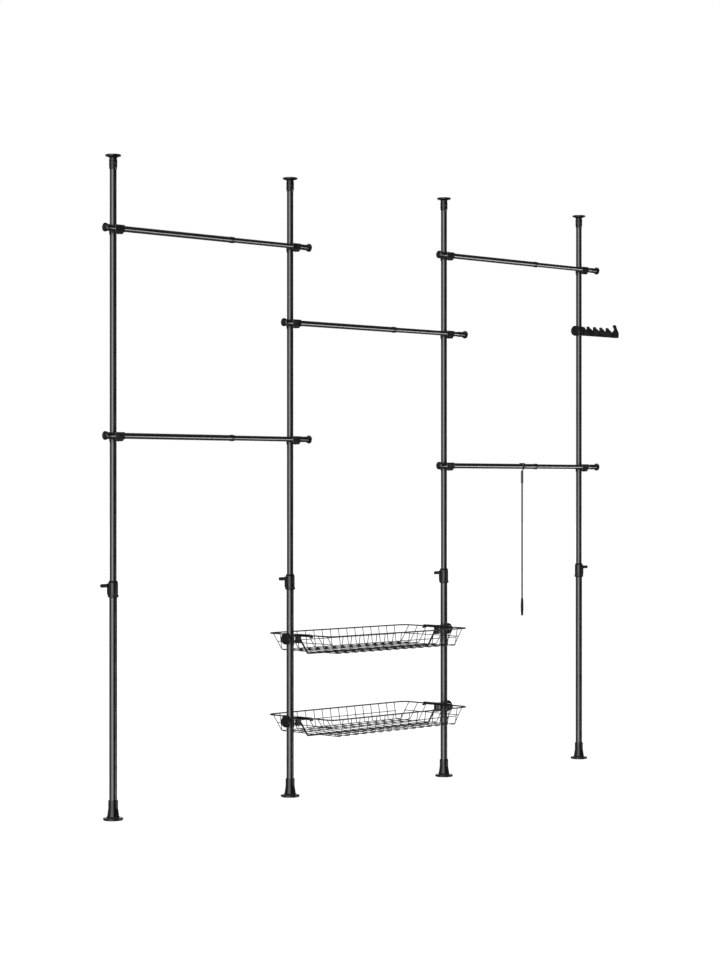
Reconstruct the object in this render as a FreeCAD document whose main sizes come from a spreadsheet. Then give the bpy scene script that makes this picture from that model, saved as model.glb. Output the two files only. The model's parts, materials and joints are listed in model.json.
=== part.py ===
import FreeCAD, Part
import math
import os
import re

import Sketcher
from FreeCAD import Placement, Rotation, Vector

# Driving dimensions in millimetres, by the piece that they belong to
sizes = {
    # Layout: four poles in a row along X, the first one over the origin
    "bay_width": 1000,
    "ceiling_height": 2700,
    # Fits and cuts that all pieces share
    "seat_clearance": 0.1,
    "slide_clearance": 0.3,
    "cut_overrun": 2,
    # Lower pole tubes
    "lower_tube_diameter": 32,
    "lower_tube_wall": 1.2,
    "lower_tube_top": 941,
    # Upper pole tubes
    "upper_tube_diameter": 28,
    "upper_tube_wall": 1,
    "upper_tube_bottom": 640,
    # Feet: a flanged socket with a flared root
    "foot_flange_diameter": 82,
    "foot_flange_thickness": 11,
    "foot_edge_radius": 4,
    "foot_root_radius": 7,
    "foot_cone_diameter": 49,
    "foot_cone_top": 48,
    "foot_socket_diameter": 40,
    "foot_height": 81,
    "foot_floor_thickness": 8,
    # Height collars on top of the lower tubes
    "collar_bottom": 903,
    "collar_height": 68,
    "collar_diameter": 40,
    "collar_lip_diameter": 45,
    "collar_lip_height": 9,
    "collar_chamfer": 4,
    "collar_top_taper": 8,
    "collar_top_wall": 3,
    "collar_lug_reach": 6,
    "collar_lug_width": 17,
    "collar_lug_rise": 12,
    "collar_lug_height": 46,
    # Clamp screws: a stud through the collar's lug and a barrel grip
    "clamp_screw_height": 952,
    "clamp_stud_diameter": 8,
    "clamp_neck_diameter": 11,
    "clamp_neck_length": 5,
    "clamp_shoulder": 4,
    "clamp_grip_diameter": 15,
    "clamp_grip_end": 66,
    "clamp_grip_round": 6,
    # Ceiling jacks: a turning sleeve on the upper tube and a cap on a threaded stem
    "jack_sleeve_diameter": 33,
    "jack_sleeve_length": 42,
    "jack_sleeve_overlap": 26,
    "jack_sleeve_taper": 6,
    "jack_sleeve_chamfer": 1.5,
    "jack_stem_diameter": 14,
    "jack_stem_length": 80,
    "cap_height": 17,
    "cap_diameter": 65,
    "cap_neck_diameter": 31,
    "cap_neck_height": 4,
    "cap_flare_height": 6,
    "cap_edge_radius": 3,
    # Rails: a thicker left tube and a thinner right tube that slides in it
    "rail_outer_diameter": 25,
    "rail_outer_wall": 1,
    "rail_inner_diameter": 22,
    "rail_inner_wall": 1,
    "rail_left_overhang": 66,
    "left_bay_overhang": 81,
    "middle_bay_overhang": 109,
    "right_bay_overhang": 98,
    "rail_joint_distance": 630,
    "rail_overlap": 300,
    "upper_left_rail_drop": 302,
    "lower_left_rail_height": 1559,
    "middle_rail_height": 2065,
    "upper_right_rail_drop": 271,
    "lower_right_rail_height": 1450,
    # Rail end caps and the rings at the step between the two tubes
    "outer_cap_neck": 26,
    "inner_cap_neck": 46,
    "end_cap_wall": 1.3,
    "end_cap_flare": 12,
    "end_cap_diameter": 36,
    "end_cap_rim": 4,
    "end_cap_dome": 5,
    "joint_ring_length": 14,
    "joint_ring_wall": 1.2,
    "joint_ring_lip": 3,
    # Rail brackets: a sleeve on the rail, a rib under it and a half collar behind the pole
    "bracket_web": 5.5,
    "bracket_collar_wall": 3,
    "bracket_below": 25,
    "bracket_above": 9,
    "bracket_taper": 12,
    "bracket_thin_wall": 1.2,
    "bracket_sleeve_wall": 2.2,
    "bracket_sleeve_reach": 25,
    "bracket_sleeve_corner": 4,
    "bracket_sleeve_bevel": 3,
    "bracket_rib_width": 12,
    "bracket_rib_flat": 36,
    "bracket_rib_depth": 22.5,
    # Wire baskets between poles 2 and 3
    "upper_basket_height": 703,
    "lower_basket_height": 342,
    "basket_end_gap": 55,
    "basket_width": 406,
    "basket_depth": 77,
    "basket_end_inset": 57,
    "basket_side_inset": 18,
    "basket_corner_radius": 36,
    "basket_rim_diameter": 6,
    "basket_wire_diameter": 3.4,
    "basket_support_diameter": 8,
    "basket_bend_radius": 11,
    "basket_cross_margin": 74,
    "basket_long_pitch": 56,
    "basket_support_drop": 9,
    # Basket brackets: a clamp on the lower tube, an arm beside the rim and a block below it
    "carrier_wall": 2.6,
    "carrier_chamfer": 1,
    "carrier_top": 6,
    "carrier_height": 45,
    "carrier_neck_width": 18,
    "carrier_block_start": 36,
    "carrier_block_end": 62,
    "carrier_block_width": 13,
    "carrier_block_drop": 36,
    "carrier_arm_length": 170,
    "carrier_arm_width": 11,
    "carrier_arm_height": 12,
    "carrier_finger_diameter": 8,
    "carrier_finger_inset": 7,
    # Round knobs on the basket brackets and the hook rack
    "knob_drop": 13,
    "knob_diameter": 50,
    "knob_thickness": 14,
    "knob_edge_radius": 3,
    "knob_dish_diameter": 34,
    "knob_dish_depth": 2,
    "knob_stud_diameter": 8,
    # Hook rack on pole 4: a clamp and a flat bar with upright hooks
    "hook_rack_height": 2104,
    "hook_clamp_wall": 4.5,
    "hook_clamp_height": 44,
    "hook_neck_width": 11,
    "hook_neck_height": 32,
    "hook_flange_start": 30,
    "hook_flange_end": 37,
    "hook_flange_width": 13,
    "hook_bar_thickness": 12,
    "hook_bar_end": 314,
    "hook_bar_corner": 9,
    "hook_pitch": 51,
    "hook_first": 68,
    "hook_tip_radius": 5,
    "hook_tip_height": 43,
    "hook_slot_radius": 5,
    "hook_slot_height": 26,
    "hook_end_shoulder": 26,
    "hook_end_neck_height": 43,
    "hook_end_neck_width": 11,
    "hook_end_neck_inset": 12,
    "hook_end_tip_radius": 7.5,
    "hook_end_tip_height": 58,
    "hook_end_tip_inset": 28,
    # Reach pole that hangs on the lower right rail
    "reach_distance": 526,
    "reach_wire_diameter": 4,
    "reach_hook_drop": 21,
    "reach_hook_tip": 5,
    "reach_ferrule_diameter": 12,
    "reach_ferrule_length": 60,
    "reach_ferrule_taper": 5,
    "reach_ferrule_socket": 26,
    "reach_rod_diameter": 8,
    "reach_grip_top": 815,
    "reach_grip_length": 84,
    "reach_grip_socket": 48,
    "reach_grip_end_diameter": 10,
    "reach_grip_diameter": 14,
    "reach_grip_round": 3,
}
cross_wire_count = 15
long_wire_pairs = 3
hook_count = 4
hook_lean_degrees = 16

upright = Rotation()
along_x = Rotation(Vector(0, 1, 0), 90)
against_x = Rotation(Vector(0, 1, 0), -90)
along_y = Rotation(Vector(1, 0, 0), -90)
half_turn = Rotation(Vector(0, 0, 1), 180)

doc = FreeCAD.newDocument("ClothesRack")
sheet = doc.addObject("Spreadsheet::Sheet", "Sizes")
for row, (alias, value) in enumerate(sizes.items(), start=1):
    sheet.set(f"A{row}", alias)
    sheet.set(f"B{row}", str(value))
    sheet.setAlias(f"B{row}", alias)
doc.recompute()
nodes = []


def cells(text):
    """An expression in which every size is read from its cell of the sheet."""
    return re.sub(r"[a-z_]+", lambda word: "Sizes." + word[0] if word[0] in sizes else word[0], text)


def worth(text):
    return float(sheet.evalExpression(cells(text)))


def bind(piece, **texts):
    for name, text in texts.items():
        piece.setExpression(name, cells(text))


def place(piece, x="0", y="0", z="0", turn=upright):
    piece.Placement = Placement(Vector(), turn)
    for axis, text in (("x", x), ("y", y), ("z", z)):
        piece.setExpression(f"Placement.Base.{axis}", cells(text))
    return piece


def arc_about(centre, first, last):
    """The arc that runs anticlockwise about a centre from one corner to another."""
    angles = [math.atan2((corner - centre).y, (corner - centre).x) for corner in (first, last)]
    if angles[1] <= angles[0]:
        angles[1] += 2 * math.pi
    return Part.ArcOfCircle(Part.Circle(centre, Vector(0, 0, 1), (first - centre).Length), *angles)


def outline(body, name, plane, points, closed=True):
    """A sketch through points (u, v), or (u, v, turn, centre u, centre v) where an arc ends."""
    sketch = body.newObject("Sketcher::SketchObject", name)
    support = [item for item in body.Origin.OriginFeatures if item.Role == plane]
    sketch.AttachmentSupport = (support[0], [""])
    sketch.MapMode = "FlatFace"
    corners = [Vector(worth(point[0]), worth(point[1]), 0) for point in points]
    steps = list(range(len(points))) if closed else list(range(1, len(points)))
    edges, tails, heads, held = [], [], [], []
    for number, index in enumerate(steps):
        start, end, point = corners[index - 1], corners[index], points[index]
        turn = point[2] if len(point) > 2 else "straight"
        tails.append(2 if turn == "cw" else 1)
        heads.append(1 if turn == "cw" else 2)
        held += [("DistanceX", number, heads[-1], point[0]), ("DistanceY", number, heads[-1], point[1])]
        if turn == "straight":
            edges.append(Part.LineSegment(start, end))
            continue
        centre = Vector(worth(point[3]), worth(point[4]), 0)
        edges.append(arc_about(centre, *((start, end) if turn == "ccw" else (end, start))))
        tall = abs(end.y - start.y) > abs(end.x - start.x)
        held.append(("DistanceX", number, 3, point[3]) if tall else ("DistanceY", number, 3, point[4]))
    if not closed:
        held += [("DistanceX", 0, tails[0], points[0][0]), ("DistanceY", 0, tails[0], points[0][1])]
    sketch.addGeometry(edges)
    joined = len(edges) if closed else len(edges) - 1
    following = [(number + 1) % len(edges) for number in range(joined)]
    rules = [
        Sketcher.Constraint("Coincident", number, heads[number], after, tails[after])
        for number, after in enumerate(following)
    ]
    rules += [Sketcher.Constraint(kind, -1, 1, edge, end, worth(text)) for kind, edge, end, text in held]
    sketch.addConstraint(rules)
    for number, (kind, edge, end, text) in enumerate(held, start=joined):
        sketch.setExpression(f"Constraints[{number}]", cells(text))
    return sketch


def turned(name, points):
    """A body turned about Z, from a profile in radius and height."""
    body = doc.addObject("PartDesign::Body", name)
    sketch = outline(body, name + "Profile", "XZ_Plane", points)
    feature = body.newObject("PartDesign::Revolution", name + "Turn")
    feature.Profile = sketch
    feature.ReferenceAxis = (sketch, ["V_Axis"])
    body.Tip = feature
    return body


def plate(name, plane, points, thickness):
    """A flat body, as thick on one side of its outline's plane as on the other."""
    body = doc.addObject("PartDesign::Body", name)
    feature = body.newObject("PartDesign::Pad", name + "Pad")
    feature.Profile = outline(body, name + "Outline", plane, points)
    feature.SideType = "Symmetric"
    bind(feature, Length=thickness)
    body.Tip = feature
    return body


def bent_wire(name, plane, points, diameter, closed=False):
    """A round wire along a flat path."""
    body = doc.addObject("PartDesign::Body", name)
    path = outline(body, name + "Path", plane, points, closed)
    doc.recompute()
    section = body.newObject("Sketcher::SketchObject", name + "Section")
    section.AttachmentSupport = (path, ["Edge1"])
    section.MapMode = "NormalToEdge"
    section.addGeometry(Part.Circle(Vector(), Vector(0, 0, 1), worth(diameter) / 2))
    section.addConstraint(Sketcher.Constraint("Coincident", 0, 3, -1, 1))
    section.addConstraint(Sketcher.Constraint("Diameter", 0, worth(diameter)))
    section.setExpression("Constraints[1]", cells(diameter))
    doc.recompute()
    feature = body.newObject("PartDesign::AdditivePipe", name + "Pipe")
    feature.Profile = section
    feature.Spine = (path, [""])
    body.Tip = feature
    return body


def rod(name, diameter, length, x="0", y="0", z="0", turn=upright):
    piece = doc.addObject("Part::Cylinder", name)
    bind(piece, Radius=f"({diameter}) / 2", Height=length)
    return place(piece, x, y, z, turn)


def block(name, length, width, height, x="0", y="0", z="0"):
    """A box centred across Y, from x onwards and from z upwards."""
    piece = doc.addObject("Part::Box", name)
    bind(piece, Length=length, Width=width, Height=height)
    return place(piece, x, f"{y} - ({width}) / 2", z)


def fuse(name, *pieces):
    joined = doc.addObject("Part::MultiFuse", name)
    joined.Shapes = list(pieces)
    return joined


def cut(name, base, *tools):
    result = doc.addObject("Part::Cut", name)
    result.Base = base
    result.Tool = tools[0] if len(tools) == 1 else fuse(name + "Tools", *tools)
    return result


def tube(name, diameter, wall, length):
    skin = rod(name + "Skin", diameter, length)
    bore = rod(name + "Bore", f"{diameter} - 2 * {wall}", f"{length} + 2 * cut_overrun", z="-cut_overrun")
    return cut(name, skin, bore)


def node(label, *copies):
    """One sub-part: copies of finished pieces, each given as piece, x, y, z and turn."""
    links = []
    for piece, *position in copies:
        link = doc.addObject("App::Link", label + "_copy")
        link.LinkedObject = piece
        links.append(place(link, *position))
    group = doc.addObject("Part::Compound", label)
    group.Links = links
    group.Label = label
    nodes.append(group)


# Poles and feet
jack_sleeve_bottom = "ceiling_height - cap_height - slide_clearance - jack_sleeve_length"
upper_tube_top = f"{jack_sleeve_bottom} + jack_sleeve_overlap"
socket_radius = "lower_tube_diameter / 2 + seat_clearance"
lower_tube = tube(
    "LowerTube", "lower_tube_diameter", "lower_tube_wall", "lower_tube_top - foot_floor_thickness"
)
upper_tube = tube(
    "UpperTube", "upper_tube_diameter", "upper_tube_wall", f"{upper_tube_top} - upper_tube_bottom"
)
flange_inner = "foot_flange_diameter / 2 - foot_edge_radius"
root_outer = "foot_cone_diameter / 2 + foot_root_radius"
root_top = "foot_flange_thickness + foot_root_radius"
foot = turned("Foot", [
    ("0", "0"),
    (flange_inner, "0"),
    ("foot_flange_diameter / 2", "foot_edge_radius", "ccw", flange_inner, "foot_edge_radius"),
    ("foot_flange_diameter / 2", "foot_flange_thickness - foot_edge_radius"),
    (flange_inner, "foot_flange_thickness", "ccw", flange_inner, "foot_flange_thickness - foot_edge_radius"),
    (root_outer, "foot_flange_thickness"),
    ("foot_cone_diameter / 2", root_top, "cw", root_outer, root_top),
    ("foot_socket_diameter / 2", "foot_cone_top"),
    ("foot_socket_diameter / 2", "foot_height"),
    (socket_radius, "foot_height"),
    (socket_radius, "foot_floor_thickness"),
    ("0", "foot_floor_thickness"),
])

# Height collars, with a lug that takes the clamp screw
collar_shape = turned("CollarShape", [
    ("0", "0"),
    ("collar_lip_diameter / 2 - collar_chamfer", "0"),
    ("collar_lip_diameter / 2", "collar_chamfer"),
    ("collar_lip_diameter / 2", "collar_lip_height"),
    ("collar_diameter / 2", "collar_lip_height + (collar_lip_diameter - collar_diameter) / 2"),
    ("collar_diameter / 2", "collar_height - collar_top_taper"),
    ("upper_tube_diameter / 2 + collar_top_wall", "collar_height"),
    ("0", "collar_height"),
])
collar_lug_face = "(collar_diameter / 2 + collar_lug_reach)"
collar_lug = block(
    "CollarLug", collar_lug_face, "collar_lug_width", "collar_lug_height",
    x=f"-{collar_lug_face}", z="collar_lug_rise",
)
collar = cut(
    "Collar",
    fuse("CollarBody", collar_shape, collar_lug),
    rod(
        "CollarSeat", "lower_tube_diameter + 2 * seat_clearance",
        "lower_tube_top - collar_bottom + cut_overrun", z="-cut_overrun",
    ),
    rod(
        "CollarGuide", "upper_tube_diameter + 2 * slide_clearance",
        "collar_height + 2 * cut_overrun", z="-cut_overrun",
    ),
    rod(
        "CollarStudHole", "clamp_stud_diameter + 2 * slide_clearance", f"{collar_lug_face} + cut_overrun",
        z="clamp_screw_height - collar_bottom", turn=against_x,
    ),
)

# Clamp screws, turned about their own axis from the pole outwards
clamp_neck_start = f"{collar_lug_face} + slide_clearance"
clamp_grip_start = f"{clamp_neck_start} + clamp_neck_length"
stud_tip = "upper_tube_diameter / 2 + slide_clearance"
clamp_grip_inner = "clamp_grip_diameter / 2 - clamp_grip_round"
clamp_screw = turned("ClampScrew", [
    ("0", stud_tip),
    ("clamp_stud_diameter / 2", stud_tip),
    ("clamp_stud_diameter / 2", clamp_neck_start),
    ("clamp_neck_diameter / 2", clamp_neck_start),
    ("clamp_neck_diameter / 2", clamp_grip_start),
    ("clamp_grip_diameter / 2", f"{clamp_grip_start} + clamp_shoulder"),
    ("clamp_grip_diameter / 2", "clamp_grip_end - clamp_grip_round"),
    (clamp_grip_inner, "clamp_grip_end", "ccw", clamp_grip_inner, "clamp_grip_end - clamp_grip_round"),
    ("0", "clamp_grip_end"),
])

# Ceiling jacks
sleeve_bore = "upper_tube_diameter / 2 + slide_clearance"
stem_bore = "jack_stem_diameter / 2 + slide_clearance"
jack_sleeve = turned("JackSleeve", [
    (sleeve_bore, "0"),
    ("jack_sleeve_diameter / 2 - jack_sleeve_chamfer", "0"),
    ("jack_sleeve_diameter / 2", "jack_sleeve_taper"),
    ("jack_sleeve_diameter / 2", "jack_sleeve_length - jack_sleeve_chamfer"),
    ("jack_sleeve_diameter / 2 - jack_sleeve_chamfer", "jack_sleeve_length"),
    (stem_bore, "jack_sleeve_length"),
    (stem_bore, "jack_sleeve_overlap + slide_clearance"),
    (sleeve_bore, "jack_sleeve_overlap + slide_clearance"),
])
cap_inner = "cap_diameter / 2 - cap_edge_radius"
ceiling_cap = turned("CeilingCap", [
    ("0", "-jack_stem_length"),
    ("jack_stem_diameter / 2", "-jack_stem_length"),
    ("jack_stem_diameter / 2", "0"),
    ("cap_neck_diameter / 2", "0"),
    ("cap_neck_diameter / 2", "cap_neck_height"),
    ("cap_diameter / 2", "cap_neck_height + cap_flare_height"),
    ("cap_diameter / 2", "cap_height - cap_edge_radius"),
    (cap_inner, "cap_height", "ccw", cap_inner, "cap_height - cap_edge_radius"),
    ("0", "cap_height"),
])

# The four poles, from the first one at the origin; the last collar's lug points the other way
pole_x = {"pole_1": "0", "pole_2": "bay_width", "pole_3": "2 * bay_width", "pole_4": "3 * bay_width"}
for pole, x in pole_x.items():
    outward = half_turn if pole == "pole_4" else upright
    node(f"{pole}_lower_tube", (lower_tube, x, "0", "foot_floor_thickness"))
    node(f"{pole}_upper_tube", (upper_tube, x, "0", "upper_tube_bottom"))
    node(f"{pole}_clamp_screw", (clamp_screw, x, "0", "clamp_screw_height", outward * against_x))
    node(f"{pole}_jack_sleeve", (jack_sleeve, x, "0", jack_sleeve_bottom))
    node(f"{pole}_ceiling_cap", (ceiling_cap, x, "0", "ceiling_height - cap_height"))
pole_groups = (
    ("left_foot", "left_collar", ("pole_1",)),
    ("centre_feet", "centre_collars", ("pole_2", "pole_3")),
    ("right_foot", "right_collar", ("pole_4",)),
)
for foot_label, collar_label, poles in pole_groups:
    outward = half_turn if "pole_4" in poles else upright
    node(foot_label, *[(foot, pole_x[pole]) for pole in poles])
    node(collar_label, *[(collar, pole_x[pole], "0", "collar_bottom", outward) for pole in poles])

# Rails, each as its left pole, right pole, height and right overhang
rail_y = "-(upper_tube_diameter / 2 + bracket_web + rail_outer_diameter / 2)"
upper_left_rail = "(ceiling_height - upper_left_rail_drop)"
upper_right_rail = "(ceiling_height - upper_right_rail_drop)"
rails = {
    "upper_left": ("pole_1", "pole_2", upper_left_rail, "left_bay_overhang"),
    "lower_left": ("pole_1", "pole_2", "lower_left_rail_height", "left_bay_overhang"),
    "middle": ("pole_2", "pole_3", "middle_rail_height", "middle_bay_overhang"),
    "upper_right": ("pole_3", "pole_4", upper_right_rail, "right_bay_overhang"),
    "lower_right": ("pole_3", "pole_4", "lower_right_rail_height", "right_bay_overhang"),
}
rail_outer = tube(
    "RailOuter", "rail_outer_diameter", "rail_outer_wall", "(rail_left_overhang + rail_joint_distance)"
)


def rail_inner(name, overhang):
    length = f"(bay_width + {overhang} - rail_joint_distance + rail_overlap)"
    return tube(name, "rail_inner_diameter", "rail_inner_wall", length)


def end_cap(name, rail_diameter, neck):
    """A flared cap over a rail's end, which lies at its zero height."""
    seat = f"{rail_diameter} / 2 + seat_clearance"
    skin = f"{seat} + end_cap_wall"
    dome_radius = "((end_cap_diameter / 2)^2 + end_cap_dome^2) / (2 * end_cap_dome)"
    return turned(name, [
        (seat, f"-{neck}"),
        (skin, f"-{neck}"),
        (skin, "-end_cap_flare"),
        ("end_cap_diameter / 2", "0"),
        ("end_cap_diameter / 2", "end_cap_rim"),
        ("0", "end_cap_rim + end_cap_dome", "ccw", "0", f"end_cap_rim + end_cap_dome - {dome_radius}"),
        ("0", "0"),
        (seat, "0"),
    ])


def rail_bracket(name, rail_diameter):
    """A cross bracket, with the pole's axis and the rail's height at its zero."""
    collar_radius = "(upper_tube_diameter / 2 + bracket_collar_wall)"
    collar_reach = f"({collar_radius} + cut_overrun)"
    whole_collar = turned(name + "WholeCollar", [
        ("0", "-bracket_below"),
        ("upper_tube_diameter / 2 + bracket_thin_wall", "-bracket_below"),
        (collar_radius, "-bracket_below + bracket_taper"),
        (collar_radius, "bracket_above"),
        ("0", "bracket_above"),
    ])
    collar_front = block(
        name + "CollarFront", f"2 * {collar_reach}", collar_reach,
        "bracket_below + bracket_above + 2 * cut_overrun",
        f"-{collar_reach}", f"-{collar_reach} / 2", "-bracket_below - cut_overrun",
    )
    half_collar = cut(name + "HalfCollar", whole_collar, collar_front)
    # The sleeve is what its plan and its end view have in common
    half = f"({rail_diameter} / 2 + bracket_sleeve_wall)"
    front = f"({rail_y} - {half})"
    left, right = "-bracket_sleeve_reach", "bracket_sleeve_reach"
    left_corner, right_corner = f"bracket_sleeve_corner + {left}", f"{right} - bracket_sleeve_corner"
    front_corner = f"{front} + bracket_sleeve_corner"
    plan = plate(name + "SleevePlan", "XY_Plane", [
        (left, rail_y),
        (left, front_corner),
        (left_corner, front, "ccw", left_corner, front_corner),
        (right_corner, front),
        (right, front_corner, "ccw", right_corner, front_corner),
        (right, rail_y),
        (collar_radius, "0"),
        (f"-{collar_radius}", "0", "ccw", "0", "0"),
    ], f"2 * {half} + 2 * cut_overrun")
    front_bevel, half_bevel = f"{front} + bracket_sleeve_bevel", f"({half} - bracket_sleeve_bevel)"
    end = plate(name + "SleeveEnd", "YZ_Plane", [
        (front, f"-{half_bevel}"),
        (front_bevel, f"-{half}"),
        (collar_reach, f"-{half}"),
        (collar_reach, "bracket_above"),
        ("0", "bracket_above"),
        (f"{rail_y} + {half}", half),
        (front_bevel, half),
        (front, half_bevel),
    ], f"2 * {right} + 2 * cut_overrun")
    sleeve = doc.addObject("Part::Common", name + "Sleeve")
    sleeve.Base, sleeve.Tool = plan, end
    rib = plate(name + "Rib", "XZ_Plane", [
        (left, "0"),
        (left, f"-{half}"),
        ("-bracket_rib_flat / 2", "-bracket_rib_depth"),
        ("bracket_rib_flat / 2", "-bracket_rib_depth"),
        (right, f"-{half}"),
        (right, "0"),
    ], "bracket_rib_width")
    place(rib, "0", rail_y)
    pole_hole = rod(
        name + "PoleHole", "upper_tube_diameter + 2 * seat_clearance",
        f"bracket_below + bracket_above + {half} + cut_overrun", z="-bracket_below - cut_overrun",
    )
    rail_hole = rod(
        name + "RailHole", f"{rail_diameter} + 2 * seat_clearance",
        f"2 * {right} + 2 * cut_overrun", f"{left} - cut_overrun", rail_y, "0", along_x,
    )
    return cut(name, fuse(name + "Body", half_collar, sleeve, rib), pole_hole, rail_hole)


joint_seat = "rail_outer_diameter / 2 + seat_clearance"
joint_bore = "rail_inner_diameter / 2 + slide_clearance"
joint_ring = turned("JointRing", [
    (joint_seat, "-joint_ring_length"),
    (f"{joint_seat} + joint_ring_wall", "-joint_ring_length"),
    (f"{joint_seat} + joint_ring_wall", "joint_ring_lip"),
    (joint_bore, "joint_ring_lip"),
    (joint_bore, "0"),
    (joint_seat, "0"),
])
rail_inners = {
    "left_bay_overhang": rail_inner("RailInnerLeft", "left_bay_overhang"),
    "middle_bay_overhang": rail_inner("RailInnerMiddle", "middle_bay_overhang"),
    "right_bay_overhang": rail_inner("RailInnerRight", "right_bay_overhang"),
}
outer_cap = end_cap("OuterCap", "rail_outer_diameter", "outer_cap_neck")
inner_cap = end_cap("InnerCap", "rail_inner_diameter", "inner_cap_neck")
outer_bracket = rail_bracket("OuterBracket", "rail_outer_diameter")
inner_bracket = rail_bracket("InnerBracket", "rail_inner_diameter")


def rail_left_end(piece, name, turn=upright, at_bracket=False):
    """A piece at a rail's left bracket, or at the thick tube's left end."""
    pole, _, height, _ = rails[name]
    reach = "" if at_bracket else " - rail_left_overhang"
    return piece, pole_x[pole] + reach, "0" if at_bracket else rail_y, height, turn


def rail_right_end(piece, name, turn=upright, at_bracket=False):
    """A piece at a rail's right bracket, or at the thin tube's right end."""
    _, pole, height, overhang = rails[name]
    reach = "" if at_bracket else f" + {overhang}"
    return piece, pole_x[pole] + reach, "0" if at_bracket else rail_y, height, turn


def rail_step(piece, name, back="0"):
    """A piece along X at the step between a rail's two tubes, or back from it."""
    pole, _, height, _ = rails[name]
    return piece, f"{pole_x[pole]} + rail_joint_distance - {back}", rail_y, height, along_x


for bay, names in (("left_bay", ("upper_left", "lower_left")), ("middle_rail", ("middle",)),
                   ("right_bay", ("upper_right", "lower_right"))):
    plural = "s" if len(names) > 1 else ""
    node(f"{bay}_outer_tube{plural}", *[rail_left_end(rail_outer, name, along_x) for name in names])
    inners = [(rail_inners[rails[name][3]], name) for name in names]
    node(f"{bay}_inner_tube{plural}", *[rail_step(inner, name, "rail_overlap") for inner, name in inners])
left_names, right_names = ("upper_left", "lower_left"), ("upper_right", "lower_right")
node("left_rail_brackets", *[rail_left_end(outer_bracket, name, at_bracket=True) for name in left_names])
node(
    "centre_rail_brackets",
    *[rail_right_end(inner_bracket, name, at_bracket=True) for name in left_names + ("middle",)],
    *[rail_left_end(outer_bracket, name, at_bracket=True) for name in ("middle",) + right_names],
)
node("right_rail_brackets", *[rail_right_end(inner_bracket, name, at_bracket=True) for name in right_names])
node("left_rail_end_caps", *[rail_left_end(outer_cap, name, against_x) for name in left_names])
node(
    "centre_rail_end_caps",
    *[rail_right_end(inner_cap, name, along_x) for name in left_names + ("middle",)],
    *[rail_left_end(outer_cap, name, against_x) for name in ("middle",) + right_names],
)
node("right_rail_end_caps", *[rail_right_end(inner_cap, name, along_x) for name in right_names])
node("left_rail_joint_rings", *[rail_step(joint_ring, name) for name in left_names])
node("centre_rail_joint_rings", *[rail_step(joint_ring, name) for name in ("middle",) + right_names])

# Wire baskets: sizes of the rim and of the sloping walls, measured at wire centres
rim_half_length = "(bay_width / 2 - basket_end_gap)"
rim_half_width = "(basket_width / 2)"
rim_to_wire = "(basket_rim_diameter / 2 + basket_wire_diameter / 2 + seat_clearance)"
layer = "(basket_wire_diameter + seat_clearance)"
long_depth = f"(basket_depth - {layer})"
long_floor = f"({rim_half_length} - basket_end_inset)"
long_lean = f"((basket_end_inset - {rim_to_wire}) / {long_depth})"
cross_floor = f"({rim_half_width} - basket_side_inset)"
cross_lean = f"((basket_side_inset - {rim_to_wire}) / basket_depth)"
support_depth = "(basket_depth + (basket_wire_diameter + basket_support_diameter) / 2 + seat_clearance)"
support_floor = (
    f"({long_floor} + ({support_depth} - {long_depth}) * (sqrt(1 + {long_lean}^2) - {long_lean}))"
)


def basket_wire(name, plane, diameter, floor, depth, lean, drop="0"):
    """A wire down one sloping wall, across the floor and up the other wall."""
    top = f"{floor} + ({depth} - ({drop})) * {lean}"
    slant = f"sqrt(1 + {lean}^2)"
    run = f"(basket_bend_radius * ({slant} - {lean}))"
    wall_u = f"{floor} + {run} * {lean} / {slant}"
    wall_v = f"{run} / {slant} - {depth}"
    floor_u = f"{floor} - {run}"
    centre_v = f"basket_bend_radius - {depth}"
    return bent_wire(name, plane, [
        (f"-({top})", f"-({drop})"),
        (f"-({wall_u})", wall_v),
        (f"-({floor_u})", f"-({depth})", "ccw", f"-({floor_u})", centre_v),
        (floor_u, f"-({depth})"),
        (wall_u, wall_v, "ccw", floor_u, centre_v),
        (top, f"-({drop})"),
    ], diameter)


cross_wire = basket_wire(
    "CrossWire", "YZ_Plane", "basket_wire_diameter", cross_floor, "basket_depth", cross_lean
)
long_wire = basket_wire("LongWire", "XZ_Plane", "basket_wire_diameter", long_floor, long_depth, long_lean)
support_wire = basket_wire(
    "SupportWire", "XZ_Plane", "basket_support_diameter",
    support_floor, support_depth, long_lean, "basket_support_drop",
)
corner_u = f"({rim_half_length} - basket_corner_radius)"
corner_v = f"({rim_half_width} - basket_corner_radius)"
rim_wire = bent_wire("RimWire", "XY_Plane", [
    (corner_u, f"-{rim_half_width}"),
    (rim_half_length, f"-{corner_v}", "ccw", corner_u, f"-{corner_v}"),
    (rim_half_length, corner_v),
    (corner_u, rim_half_width, "ccw", corner_u, corner_v),
    (f"-{corner_u}", rim_half_width),
    (f"-{rim_half_length}", corner_v, "ccw", f"-{corner_u}", corner_v),
    (f"-{rim_half_length}", f"-{corner_v}"),
    (f"-{corner_u}", f"-{rim_half_width}", "ccw", f"-{corner_u}", f"-{corner_v}"),
], "basket_rim_diameter", closed=True)

# Straight wires halfway up the walls, inside the upright ones
cross_reach = f"({rim_half_length} - basket_cross_margin)"
cross_pitch = f"(2 * {cross_reach} / {cross_wire_count - 1})"
side_wire_length = f"(2 * {cross_reach} + 2 * basket_wire_diameter)"
side_wire = rod("SideWire", "basket_wire_diameter", side_wire_length)
side_wire_y = f"({cross_floor} + basket_depth / 2 * {cross_lean} - {layer} * sqrt(1 + {cross_lean}^2))"
end_wire_length = f"(2 * {long_wire_pairs} * basket_long_pitch + 2 * basket_wire_diameter)"
end_wire = rod("EndWire", "basket_wire_diameter", end_wire_length)
end_wire_x = f"({long_floor} + {long_depth} / 2 * {long_lean} - {layer} * sqrt(1 + {long_lean}^2))"

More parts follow.
